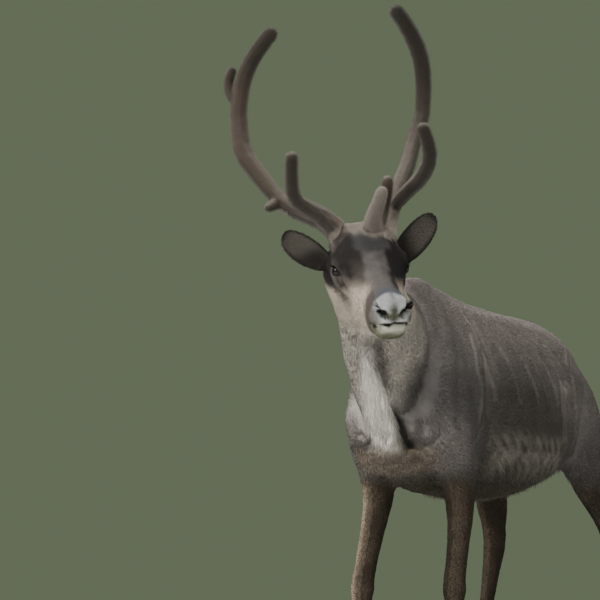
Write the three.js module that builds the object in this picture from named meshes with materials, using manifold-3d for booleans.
// Reindeer bull in short summer coat and velvet antlers, standing with its head turned to its left.
// Millimetres, +Z up. The animal faces -Y, its left side is +X, and the soles stand on Z = 0.
// The outlines run out to the tips of the coat.
import * as THREE from "three";
import Module from "manifold-3d";

const wasm = await Module();
wasm.setup();

// Driving dimensions of the body
const WITHERS = 1175;
const BACK = 1125;
const CROUP = 1088;
const BELLY = 604;
const BARREL = 190;
const WITHERS_Y = -330;
const BREAST_Y = -532;
const BUTTOCK_Y = 694;
const GAP = 0.35;

// Head: midpoint between the eyes, and the way the head is carried
const EYES = new THREE.Vector3(86, -800, 1154);
const HEAD_YAW = THREE.MathUtils.degToRad(39);
const HEAD_PITCH = THREE.MathUtils.degToRad(29);
const HEAD_ROLL = THREE.MathUtils.degToRad(5);
const EYE_RADIUS = 17;
const EYE_SPREAD = 77;

// Feet
const CORONET = 58;
const HOOF_LENGTH = 96;
const HOOF_WIDTH = 40;
const HOOF_SPLAY = THREE.MathUtils.degToRad(7);
const CLEFT = 3;
const CLAW_LEAN = 16;
const TOE_CURVE = 7;
const DEWCLAW_DROP = 43;
const DEWCLAW_TOP = 78;
const DEWCLAW_RADIUS = 12;
const DEWCLAW_TAPER = 0.62;
const DEWCLAW_BEHIND = 58;
const DEWCLAW_LEAN = 14;
const DEWCLAW_ASIDE = 17;
const DEWCLAW_SPREAD = 5;
const TOP_SHORTER = 0.38;
const TOP_NARROWER = 0.2;
const TOE_NARROWER = 0.42;
const HEEL_FORWARD = 8;

// Rings along each length, and points around each ring
const RINGS = { trunk: 22, neck: 8, head: 21, tail: 7, thigh: 13, shin: 9, eye: 7, claw: 3 };
const AROUND = { trunk: 24, neck: 18, head: 20, tail: 10, thigh: 12, shin: 10, eye: 10, claw: 12, dewclaw: 6, antler: 8 };

const Z_AXIS = new THREE.Vector3(0, 0, 1);

// Level directions of the turned head
const AHEAD = new THREE.Vector3(Math.sin(HEAD_YAW), -Math.cos(HEAD_YAW), 0);
const ACROSS = new THREE.Vector3(Math.cos(HEAD_YAW), Math.sin(HEAD_YAW), 0);

// Directions fixed to the skull: towards the nose, to its left and out of its forehead
const FORWARD = AHEAD.clone()
  .multiplyScalar(Math.cos(HEAD_PITCH))
  .addScaledVector(Z_AXIS, -Math.sin(HEAD_PITCH));
const LEFT = ACROSS.clone().applyAxisAngle(FORWARD, HEAD_ROLL);
const CROWN = LEFT.clone().cross(FORWARD).negate();

const COLOURS = {
  coat: { color: 0x6f6252, roughness: 0.9 },
  face: { color: 0x5a4e43, roughness: 0.9 },
  mane: { color: 0x9a8c7a, roughness: 0.9 },
  velvet: { color: 0x6a5a4b, roughness: 0.95 },
  eye: { color: 0x120d0a, roughness: 0.1 },
  hoof: { color: 0x1d1a18, roughness: 0.5 },
};

const group = new THREE.Group();

function add(name, solid, look) {
  const mesh = solid.getMesh();
  const geometry = new THREE.BufferGeometry();
  geometry.setAttribute("position", new THREE.BufferAttribute(new Float32Array(mesh.vertProperties), 3));
  geometry.setIndex(new THREE.BufferAttribute(new Uint32Array(mesh.triVerts), 1));
  geometry.computeVertexNormals();
  const material = new THREE.MeshStandardMaterial({ ...COLOURS[look], metalness: 0 });
  const part = new THREE.Mesh(geometry, material);
  part.name = name;
  group.add(part);
}

// Value at t, from 0 to 1, on a smooth curve through a list of numbers
function through(values, t) {
  const last = values.length - 1;
  const i = Math.min(Math.floor(t * last), last - 1);
  const u = t * last - i;
  const before = values[Math.max(i - 1, 0)];
  const from = values[i];
  const to = values[i + 1];
  const after = values[Math.min(i + 2, last)];
  const slopeFrom = (to - before) / 2;
  const slopeTo = (after - from) / 2;
  const rise = to - from;
  return from + u * (slopeFrom + u * (3 * rise - 2 * slopeFrom - slopeTo + u * (slopeFrom + slopeTo - 2 * rise)));
}

// Solid between rings of points, each end closed by a fan
function skinOver(rings) {
  const count = rings[0].length;
  const points = rings.flat();
  const faces = [];
  for (let k = 0; k + 1 < rings.length; k += 1) {
    for (let i = 0; i < count; i += 1) {
      const j = (i + 1) % count;
      const a = k * count + i;
      const b = k * count + j;
      faces.push([a, b, b + count], [a, b + count, a + count]);
    }
  }
  const ends = [rings[0], rings[rings.length - 1]];
  ends.forEach((ring, end) => {
    const middle = new THREE.Vector3();
    ring.forEach((point) => middle.addScaledVector(point, 1 / count));
    const hub = points.push(middle) - 1;
    const start = end === 0 ? 0 : (rings.length - 1) * count;
    for (let i = 0; i < count; i += 1) {
      const j = (i + 1) % count;
      faces.push(end === 0 ? [hub, start + j, start + i] : [hub, start + i, start + j]);
    }
  });
  let volume = 0;
  for (const [a, b, c] of faces) {
    volume += points[a].dot(points[b].clone().cross(points[c]));
  }
  const order = volume > 0 ? [0, 1, 2] : [0, 2, 1];
  const vertProperties = new Float32Array(points.flatMap((point) => point.toArray()));
  const triVerts = new Uint32Array(faces.flatMap((face) => order.map((corner) => face[corner])));
  return new wasm.Manifold(new wasm.Mesh({ numProp: 3, vertProperties, triVerts }));
}

// Ring of a section: a rounded oval whose upper and lower halves have their own reach and squareness
function oval(section, count, grow) {
  const points = [];
  for (let i = 0; i < count; i += 1) {
    const angle = (2 * Math.PI * i) / count;
    const across = Math.cos(angle);
    const rise = Math.sin(angle);
    const power = 2 / (rise > 0 ? section.squareUp : section.squareDown);
    const reach = rise > 0 ? section.up : section.down;
    const x = (section.wide + grow) * Math.sign(across) * Math.abs(across) ** power;
    const y = (reach + grow) * Math.sign(rise) * Math.abs(rise) ** power;
    const point = section.at.clone();
    point.addScaledVector(section.sideways, x);
    point.addScaledVector(section.upward, y);
    points.push(point);
  }
  return points;
}

// Solid through a table of stations, with its rings at even steps between them
function loft(rows, sectionOf, steps, around, grow = 0) {
  const rings = [];
  for (let k = 0; k <= steps; k += 1) {
    const values = rows[0].map((_, column) => through(rows.map((row) => row[column]), k / steps));
    rings.push(oval(sectionOf(values), around, grow));
  }
  if (grow > 0) {
    lengthen(rings[0], rings[1], grow);
    lengthen(rings[steps], rings[steps - 1], grow);
  }
  return skinOver(rings);
}

// An end ring moves away from its neighbour by the given distance
function lengthen(ring, neighbour, distance) {
  const away = new THREE.Vector3();
  ring.forEach((point, i) => away.add(point).sub(neighbour[i]));
  away.normalize();
  ring.forEach((point) => point.addScaledVector(away, distance));
}

// Solid with its neighbours, grown by the gap, cut away
function without(solid, ...neighbours) {
  return neighbours.reduce((rest, neighbour) => rest.subtract(neighbour), solid);
}

// Trunk stations from breast to buttock: y, top, bottom, half width, squareness above
const TRUNK_ROWS = [
  [BREAST_Y, 860, 790, 22, 2.0],
  [BREAST_Y + 12, 930, 730, 70, 2.0],
  [-480, 1040, 680, 100, 1.9],
  [-420, 1148, 645, 117, 1.7],
  [WITHERS_Y, WITHERS, 622, 132, 1.6],
  [-240, WITHERS - 16, 614, 155, 1.65],
  [-100, BACK + 6, BELLY, 179, 1.9],
  [40, BACK - 5, BELLY - 4, BARREL, 2.0],
  [180, BACK - 14, BELLY + 4, BARREL, 2.05],
  [300, CROUP + 22, BELLY + 18, 182, 2.0],
  [420, CROUP + 16, BELLY + 50, 168, 1.9],
  [520, CROUP + 2, 700, 150, 1.9],
  [596, 1056, 745, 118, 2.0],
  [652, 1003, 800, 80, 2.0],
  [684, 950, 850, 42, 2.0],
  [BUTTOCK_Y - 6, 915, 885, 14, 2.0],
];
const WIDEST_AT = 0.42;
const SQUARE_BELOW = 2.1;

function trunk(grow = 0) {
  const sectionOf = ([y, top, bottom, wide, squareUp]) => {
    const level = bottom + WIDEST_AT * (top - bottom);
    return {
      at: new THREE.Vector3(0, y, level),
      sideways: new THREE.Vector3(1, 0, 0),
      upward: Z_AXIS,
      wide,
      up: top - level,
      down: level - bottom,
      squareUp,
      squareDown: SQUARE_BELOW,
    };
  };
  return loft(TRUNK_ROWS, sectionOf, RINGS.trunk, AROUND.trunk, grow);
}

// Neck stations from inside the chest to the poll: x and y of the nape, its height, x and y of the throat,
// its height, half width
const NECK_ROWS = [
  [0, -400, 1120, 0, -470, 690, 96],
  [2, -450, 1136, 0, -545, 765, 102],
  [8, -550, 1158, 6, -612, 878, 98],
  [16, -640, 1204, 14, -668, 978, 85],
  [12, -706, 1250, 18, -708, 1078, 98],
  [34, -750, 1250, 48, -738, 1096, 70],
];

// The neck twists towards the turned head over this stretch of its nape
const TURN_STARTS_Y = -450;
const TURN_LENGTH = 300;

function neck(grow = 0) {
  const sectionOf = ([napeX, napeY, nape, throatX, throatY, throat, wide]) => {
    const top = new THREE.Vector3(napeX, napeY, nape);
    const low = new THREE.Vector3(throatX, throatY, throat);
    const upward = top.clone().sub(low);
    const half = upward.length() / 2;
    upward.normalize();
    const turn = THREE.MathUtils.clamp((TURN_STARTS_Y - napeY) / TURN_LENGTH, 0, 1);
    const sideways = new THREE.Vector3(1, 0, 0).lerp(LEFT, turn);
    sideways.addScaledVector(upward, -sideways.dot(upward)).normalize();
    return {
      at: low.addScaledVector(upward, half),
      sideways,
      upward,
      wide,
      up: half,
      down: half,
      squareUp: 2.0,
      squareDown: 2.0,
    };
  };
  return loft(NECK_ROWS, sectionOf, RINGS.neck, AROUND.neck, grow);
}

// Point in the skull's own directions: towards the nose, to the left, out of the forehead
function inSkull(forward, left, crown) {
  return EYES.clone()
    .addScaledVector(FORWARD, forward)
    .addScaledVector(LEFT, left)
    .addScaledVector(CROWN, crown);
}

// Head stations from the nape to the nose: distance forward of the eyes, top, bottom, level of the widest
// place, half width, squareness above and below
const HEAD_ROWS = [
  [-152, 22, -48, -10, 34, 2.0, 2.0],
  [-138, 54, -82, -12, 58, 2.0, 2.0],
  [-110, 79, -116, -12, 79, 2.1, 1.9],
  [-72, 85, -134, -12, 86, 2.1, 1.8],
  [-34, 78, -140, -8, 90, 2.2, 1.75],
  [4, 66, -138, -4, 91, 2.4, 1.75],
  [42, 53, -132, -10, 77, 2.3, 1.9],
  [80, 44, -124, -20, 61, 2.2, 2.2],
  [118, 39, -118, -28, 52, 2.2, 2.4],
  [156, 36, -109, -32, 47, 2.3, 2.4],
  [190, 32, -98, -30, 48, 2.5, 2.4],
  [216, 25, -88, -28, 49, 2.6, 2.4],
  [236, 11, -77, -30, 44, 2.5, 2.2],
  [249, -6, -60, -32, 31, 2.3, 2.1],
  [254, -22, -44, -33, 12, 2.0, 2.0],
];

function head(grow = 0) {
  const sectionOf = ([forward, top, bottom, level, wide, squareUp, squareDown]) => ({
    at: inSkull(forward, 0, level),
    sideways: LEFT,
    upward: CROWN,
    wide,
    up: top - level,
    down: level - bottom,
    squareUp,
    squareDown,
  });
  return loft(HEAD_ROWS, sectionOf, RINGS.head, AROUND.head, grow);
}

// Eyeball as a ball of rings along the head's left direction
function eyeball(side, grow = 0) {
  const rows = RINGS.eye;
  const radius = EYE_RADIUS + grow;
  const middle = inSkull(0, side * EYE_SPREAD, 0);
  const rings = [];
  for (let k = 1; k < rows; k += 1) {
    const polar = (Math.PI * k) / rows;
    rings.push(
      oval(
        {
          at: middle.clone().addScaledVector(LEFT, radius * Math.cos(polar)),
          sideways: FORWARD,
          upward: CROWN,
          wide: radius * Math.sin(polar),
          up: radius * Math.sin(polar),
          down: radius * Math.sin(polar),
          squareUp: 2,
          squareDown: 2,
        },
        AROUND.eye,
        0,
      ),
    );
  }
  return skinOver(rings);
}

// Place on the level frame of the head: to its left, behind the eyes, above the eyes
function byHead([left, behind, above]) {
  return EYES.clone()
    .addScaledVector(ACROSS, left)
    .addScaledVector(AHEAD, -behind)
    .addScaledVector(Z_AXIS, above);
}

// Ears: root and tip by the head, largest width below and above the middle, depth of the cup, rim thickness
const EAR = { low: 41, high: 31, cup: 20, thick: 4, steps: 9, arc: 4 };
const EAR_FULLEST = 0.52;
const EAR_AT_ROOT = 0.42;
const EAR_AT_TIP = 0.02;
const EAR_ROUNDING = 2.4;
const EAR_BLUNTING = 0.62;
const EAR_FLATTENING = 0.7;
const EAR_BEND = 1.45;
const EAR_BOW = 6;
const EAR_ROOT = { left: [72, 92, 16], right: [-72, 92, 8] };
const EAR_TIP = { left: [192, 122, 146], right: [-190, 112, 90] };

// Outline of an ear as a share of its largest width: it swells from the root and rounds off to the tip
function earWidth(t) {
  if (t < EAR_FULLEST) {
    return EAR_AT_ROOT + (1 - EAR_AT_ROOT) * Math.sin((Math.PI / 2) * (t / EAR_FULLEST));
  }
  const beyond = (t - EAR_FULLEST) / (1 - EAR_FULLEST);
  return Math.max(1 - beyond ** EAR_ROUNDING, EAR_AT_TIP) ** EAR_BLUNTING;
}

function ear(name) {
  const root = byHead(EAR_ROOT[name]);
  const tip = byHead(EAR_TIP[name]);
  const along = tip.clone().sub(root).normalize();
  const open = AHEAD.clone().addScaledVector(along, -AHEAD.dot(along)).normalize();
  const across = along.clone().cross(open);
  const lowTurn = name === "left" ? 1 : -1;
  const rings = [];
  for (let k = 0; k <= EAR.steps; k += 1) {
    const t = k / EAR.steps;
    const cup = EAR.cup * (1 - EAR_FLATTENING * t);
    const middle = root.clone().lerp(tip, t).addScaledVector(open, -EAR_BOW * Math.sin(Math.PI * t));
    const place = (turn, inner) => {
      const angle = turn * EAR_BEND;
      const wide = earWidth(t) * (turn * lowTurn > 0 ? EAR.low : EAR.high);
      const shrink = inner ? 1 - EAR.thick / Math.max(wide, 2 * EAR.thick) : 1;
      const out = Math.sin(angle) * wide * shrink;
      const back = (1 - Math.cos(angle)) * cup + (inner ? EAR.thick : 0);
      return middle.clone().addScaledVector(across, out).addScaledVector(open, back);
    };
    const ring = [];
    for (let i = -EAR.arc; i <= EAR.arc; i += 1) {
      ring.push(place(i / EAR.arc, false));
    }
    for (let i = EAR.arc; i >= -EAR.arc; i -= 1) {
      ring.push(place(i / EAR.arc, true));
    }
    rings.push(ring);
  }
  return skinOver(rings);
}

// Antler lengths: places by the head, and the radius at the start, middle and end
const ANTLERS = {
  left: {
    beam_lower: {
      path: [[34, 56, 46], [50, 60, 80], [61, 70, 113], [82, 95, 163], [106, 130, 212]],
      radii: [40, 27, 21, 20, 20],
    },
    beam_middle: {
      path: [[106, 130, 212], [138, 170, 267], [167, 210, 333], [200, 245, 408]],
      radii: [20, 19, 19],
    },
    beam_upper: {
      path: [[200, 245, 408], [208, 262, 485], [198, 252, 552], [165, 232, 613], [113, 201, 670]],
      radii: [19, 21, 19],
    },
    bez: {
      path: [[82, 93, 160], [97, 25, 190], [119, -30, 221], [127, -75, 262], [116, -96, 298], [96, -112, 342]],
      radii: [16, 18, 16],
    },
    brow: {
      path: [[30, 50, 74], [9, 14, 98], [2, -16, 121], [4, -42, 143], [7, -62, 165], [10, -78, 190]],
      radii: [34, 28, 21, 18, 16, 14],
    },
    brow_prong: {
      path: [[24, 32, 98], [30, 12, 124], [33, 3, 146], [36, -4, 170], [38, -10, 197], [39, -16, 224]],
      radii: [18, 16, 15, 15, 15, 14],
    },
  },
  right: {
    beam_lower: {
      path: [[-40, 58, 44], [-64, 70, 86], [-94, 94, 116], [-130, 120, 135], [-173, 150, 162], [-196, 175, 192]],
      radii: [40, 27, 20, 18, 18, 20],
    },
    beam_middle: {
      path: [[-196, 175, 192], [-229, 205, 242], [-260, 232, 296], [-267, 248, 345], [-267, 262, 400]],
      radii: [20, 22, 22, 21],
    },
    beam_upper: {
      path: [[-267, 262, 400], [-258, 262, 470], [-236, 252, 530], [-187, 214, 606]],
      radii: [21, 20, 18],
    },
    bez: {
      path: [[-66, 76, 100], [-112, 52, 131], [-150, 20, 143], [-196, -24, 164], [-214, -70, 209], [-222, -106, 264]],
      radii: [27, 22, 19, 17, 16, 15],
    },
    stub: {
      path: [[-186, 166, 176], [-206, 154, 162], [-226, 142, 151]],
      radii: [14, 13, 10],
    },
    back_tine: {
      path: [[-266, 262, 418], [-282, 276, 442], [-286, 287, 476], [-273, 295, 518]],
      radii: [10, 13, 11],
    },
  },
};

// Round bar along a path. A free end is closed by a blunt dome as long as its own radius.
const DOME = [0, 30, 55, 75].map(THREE.MathUtils.degToRad);
const RINGS_PER_PLACE = 1.4;
const NEARLY_ALONG = 0.2;

function antlerBar({ path, radii }, domed, grow = 0) {
  const curve = new THREE.CatmullRomCurve3(path.map(byHead), false, "centripetal");
  const tip = domed ? radii[radii.length - 1] / curve.getLength() : 0;
  const steps = Math.round(path.length * RINGS_PER_PLACE) + 1;
  const places = [];
  for (let k = 0; k < steps; k += 1) {
    places.push([(k / steps) * (1 - tip), 1]);
  }
  for (const angle of domed ? DOME : [0]) {
    places.push([1 - tip * (1 - Math.sin(angle)), Math.cos(angle)]);
  }
  const rings = places.map(([t, share]) => {
    const along = curve.getTangentAt(t);
    const sideways = ACROSS.clone().addScaledVector(along, -ACROSS.dot(along));
    if (sideways.lengthSq() < NEARLY_ALONG) {
      sideways.copy(AHEAD).addScaledVector(along, -AHEAD.dot(along));
    }
    sideways.normalize();
    const radius = through(radii, t) * share + grow;
    return oval(
      {
        at: curve.getPointAt(t),
        sideways,
        upward: along.clone().cross(sideways),
        wide: radius,
        up: radius,
        down: radius,
        squareUp: 2,
        squareDown: 2,
      },
      AROUND.antler,
      0,
    );
  });
  if (grow > 0) {
    lengthen(rings[0], rings[1], grow);
    lengthen(rings[rings.length - 1], rings[rings.length - 2], grow);
  }
  return skinOver(rings);
}

// Leg lengths: height, x, front y, back y, half width at even stations from the top down
const LEGS = {
  fore_left: {
    toe: 6,
    upper: [
      [1060, 62, -372, -236, 30],
      [980, 84, -430, -220, 44],
      [890, 98, -472, -208, 50],
      [800, 103, -494, -206, 53],
      [730, 105, -464, -212, 53],
      [670, 108, -392, -228, 48],
      [610, 108, -346, -248, 41],
      [545, 107, -334, -254, 34],
      [470, 105, -340, -274, 30],
      [410, 103, -352, -288, 31],
    ],
    lower: [
      [410, 103, -352, -288, 31],
      [372, 103, -355, -289, 31],
      [330, 102, -349, -293, 26],
      [270, 102, -344, -300, 21],
      [190, 102, -343, -301, 20],
      [140, 102, -347, -295, 24],
      [112, 102, -354, -294, 27],
      [84, 102, -366, -306, 28],
      [CORONET, 102, -384, -314, 30],
    ],
  },
  fore_right: {
    toe: -6,
    upper: [
      [1060, -62, -372, -236, 30],
      [980, -84, -430, -220, 44],
      [890, -98, -472, -208, 50],
      [800, -103, -494, -206, 53],
      [730, -105, -464, -212, 53],
      [670, -108, -396, -232, 48],
      [610, -111, -360, -258, 41],
      [545, -119, -358, -276, 35],
      [470, -126, -374, -306, 31],
      [410, -131, -388, -324, 31],
    ],
    lower: [
      [410, -131, -388, -324, 31],
      [372, -133, -393, -327, 31],
      [330, -134, -389, -333, 26],
      [270, -135, -385, -341, 21],
      [190, -136, -385, -343, 20],
      [140, -136, -390, -338, 24],
      [112, -136, -397, -337, 27],
      [84, -136, -409, -349, 28],
      [CORONET, -136, -427, -357, 30],
    ],
  },
  hind_left: {
    toe: 8,
    upper: [
      [1000, 74, 466, 574, 30],
      [945, 92, 408, 630, 48],
      [885, 104, 386, 664, 58],
      [810, 112, 380, 690, 64],
      [745, 120, 392, 698, 60],
      [690, 126, 424, 700, 52],
      [640, 129, 494, 710, 42],
      [592, 130, 584, 738, 34],
      [548, 130, 664, 776, 29],
      [512, 130, 704, 808, 27],
      [478, 130, 722, 806, 27],
    ],
    lower: [
      [478, 130, 722, 806, 27],
      [440, 130, 734, 800, 26],
      [390, 130, 746, 798, 22],
      [310, 130, 758, 802, 20],
      [210, 130, 768, 810, 20],
      [150, 130, 768, 818, 24],
      [118, 130, 762, 820, 27],
      [86, 130, 750, 808, 28],
      [CORONET, 130, 732, 802, 30],
    ],
  },
  hind_right: {
    toe: -8,
    upper: [
      [1000, -74, 440, 572, 30],
      [945, -92, 378, 640, 52],
      [885, -104, 346, 682, 64],
      [810, -110, 330, 684, 70],
      [745, -112, 326, 656, 64],
      [690, -110, 332, 604, 54],
      [640, -106, 348, 552, 44],
      [592, -103, 374, 524, 38],
      [548, -101, 398, 516, 33],
      [512, -100, 410, 508, 31],
      [478, -100, 410, 500, 30],
    ],
    lower: [
      [478, -100, 410, 500, 30],
      [440, -100, 404, 480, 28],
      [390, -101, 392, 454, 24],
      [310, -102, 372, 422, 21],
      [210, -103, 350, 395, 20],
      [150, -104, 338, 391, 24],
      [118, -104, 330, 390, 27],
      [86, -104, 316, 376, 28],
      [CORONET, -104, 298, 370, 30],
    ],
  },
};

// Rows run from the top down; trim lowers the first one, to leave a gap under the length above
function legLength(rows, steps, around, trim) {
  const sectionOf = ([z, x, front, back, wide]) => ({
    at: new THREE.Vector3(x, (front + back) / 2, z),
    sideways: new THREE.Vector3(1, 0, 0),
    upward: new THREE.Vector3(0, -1, 0),
    wide,
    up: (back - front) / 2,
    down: (back - front) / 2,
    squareUp: 2,
    squareDown: 2,
  });
  const cut = rows.map((row) => [...row]);
  cut[0][0] -= trim;
  return loft(cut, sectionOf, steps, around);
}

// Point beside a foot: ahead of its middle, to its side, above the floor
function byFoot(foot, ahead, aside, above) {
  const heading = new THREE.Vector3(Math.sin(foot.turn), -Math.cos(foot.turn), 0);
  const beside = new THREE.Vector3(Math.cos(foot.turn), Math.sin(foot.turn), 0);
  return new THREE.Vector3(foot.x, foot.y, above)
    .addScaledVector(heading, ahead)
    .addScaledVector(beside, aside);
}

// One claw of a cloven hoof: a wedge with a flat sole, pointed at the toe and curved in towards its twin
function claw(foot, side) {
  const rows = RINGS.claw;
  const around = AROUND.claw;
  const rings = [];
  for (let k = 0; k <= rows; k += 1) {
    const t = k / rows;
    const long = (HOOF_LENGTH / 2) * (1 - TOP_SHORTER * t);
    const wide = (HOOF_WIDTH / 2) * (1 - TOP_NARROWER * t);
    const ring = [];
    for (let i = 0; i < around; i += 1) {
      const angle = (2 * Math.PI * i) / around;
      const ahead = Math.cos(angle) * long;
      const toeward = Math.max(Math.cos(angle), 0) ** 2;
      const taper = 1 - TOE_NARROWER * toeward;
      const middle = HOOF_WIDTH / 2 + CLEFT / 2 - TOE_CURVE * toeward;
      const aside = Math.sin(angle) * wide * taper + side * middle;
      const turned = aside + (side * Math.tan(HOOF_SPLAY) * (ahead + HOOF_LENGTH / 2)) / 2;
      ring.push(byFoot(foot, ahead - CLAW_LEAN * t, turned, t * (CORONET - GAP)));
    }
    rings.push(ring);
  }
  return skinOver(rings);
}

// Dewclaw: a blunt cone behind the pastern, clear of the floor
function dewclaw(foot, side) {
  const rings = [];
  const rows = RINGS.claw;
  for (let k = 0; k <= rows; k += 1) {
    const t = k / rows;
    const behind = DEWCLAW_BEHIND + DEWCLAW_LEAN * t;
    const aside = DEWCLAW_ASIDE + DEWCLAW_SPREAD * t;
    const middle = byFoot(foot, -behind, side * aside, DEWCLAW_TOP - DEWCLAW_DROP * t);
    const radius = DEWCLAW_RADIUS * (1 - DEWCLAW_TAPER * t * t);
    rings.push(
      oval(
        {
          at: middle,
          sideways: new THREE.Vector3(1, 0, 0),
          upward: new THREE.Vector3(0, -1, 0),
          wide: radius,
          up: radius,
          down: radius,
          squareUp: 2,
          squareDown: 2,
        },
        AROUND.dewclaw,
        0,
      ),
    );
  }
  return skinOver(rings);
}

// Tail: short, hanging down from the rump
const TAIL_ROWS = [
  [0, 672, 962, 16, 14],
  [0, 698, 940, 25, 20],
  [0, 714, 905, 30, 22],
  [0, 721, 862, 29, 20],
  [0, 722, 822, 18, 13],
  [0, 721, 806, 6, 5],
];

function tail() {
  const sectionOf = ([x, y, z, wide, thick]) => ({
    at: new THREE.Vector3(x, y, z),
    sideways: new THREE.Vector3(1, 0, 0),
    upward: new THREE.Vector3(0, 1, 0),
    wide,
    up: thick,
    down: thick,
    squareUp: 2,
    squareDown: 2,
  });
  return loft(TAIL_ROWS, sectionOf, RINGS.tail, AROUND.tail);
}

const trunkGrown = trunk(GAP);
const neckGrown = neck(GAP);
const headGrown = head(GAP);

add("trunk", trunk(), "coat");
add("neck", without(neck(), trunkGrown, headGrown), "mane");
add("head", without(head(), eyeball(1, GAP), eyeball(-1, GAP)), "face");
add("eye_left", eyeball(1), "eye");
add("eye_right", eyeball(-1), "eye");
add("tail", without(tail(), trunkGrown), "coat");

for (const side of ["left", "right"]) {
  add(`ear_${side}`, without(ear(side), headGrown, neckGrown), "coat");
  const lengths = ANTLERS[side];
  const lower = antlerBar(lengths.beam_lower, false);
  add(`antler_${side}_beam_lower`, without(lower, headGrown, neckGrown), "velvet");
  const lowerGrown = antlerBar(lengths.beam_lower, false, GAP);
  const middle = without(antlerBar(lengths.beam_middle, false), lowerGrown);
  add(`antler_${side}_beam_middle`, middle, "velvet");
  const middleGrown = antlerBar(lengths.beam_middle, false, GAP);
  const upper = without(antlerBar(lengths.beam_upper, true), middleGrown);
  add(`antler_${side}_beam_upper`, upper, "velvet");
  const upperGrown = antlerBar(lengths.beam_upper, true, GAP);
  const cutters = [lowerGrown, middleGrown, upperGrown, headGrown];
  for (const tine of ["bez", "brow", "brow_prong", "stub", "back_tine"]) {
    if (lengths[tine]) {
      add(`antler_${side}_${tine}`, without(antlerBar(lengths[tine], true), ...cutters), "velvet");
      cutters.push(antlerBar(lengths[tine], true, GAP));
    }
  }
}

for (const [leg, { toe, upper, lower }] of Object.entries(LEGS)) {
  const thigh = legLength(upper, RINGS.thigh, AROUND.thigh, 0);
  add(`leg_${leg}_upper`, without(thigh, trunkGrown, neckGrown), "coat");
  add(`leg_${leg}_lower`, legLength(lower, RINGS.shin, AROUND.shin, GAP), "coat");
  const [, x, front, back] = lower[lower.length - 1];
  const foot = { x, y: (front + back) / 2 - HEEL_FORWARD, turn: THREE.MathUtils.degToRad(toe) };
  for (const [place, side] of [["left", 1], ["right", -1]]) {
    add(`hoof_${leg}_${place}`, claw(foot, side), "hoof");
    add(`dewclaw_${leg}_${place}`, dewclaw(foot, side), "hoof");
  }
}

// The origin is on the floor, under the middle of the whole outline
const outline = new THREE.Box3().setFromObject(group);
const middle = outline.getCenter(new THREE.Vector3());
group.position.set(-middle.x, -middle.y, 0);

export default group;
